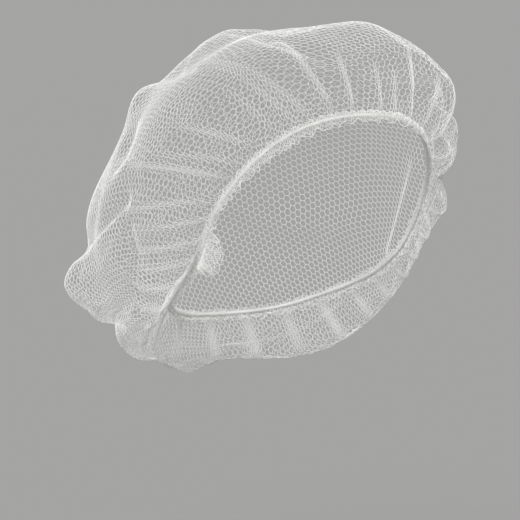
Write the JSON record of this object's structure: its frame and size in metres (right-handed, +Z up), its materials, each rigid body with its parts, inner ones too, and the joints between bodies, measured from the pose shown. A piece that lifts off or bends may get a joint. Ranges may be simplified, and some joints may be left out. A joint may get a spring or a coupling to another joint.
{
  "type": "bouffant hairnet",
  "caption": "Puffed cap of fine hexagonal net in its worn shape, with a gathered elastic hem and a narrow frill, open below for the head.",
  "frame": {"origin": "the crown point of the hollow, where the net bears on the top of a wearer's head", "axes": "+Z up, -Y towards the forehead, -X towards the wearer's right"},
  "size_m": [0.2058, 0.2187, 0.2033],
  "materials": {
    "net": "white nylon hexagonal net, slightly glossy thread",
    "elastic": "white elastic overlocked with nylon thread, matte"
  },
  "bodies": {
    "root": {"crown_net": "net", "elastic_band": "elastic", "hem_frill": "net"}
  },
  "joints": []
}
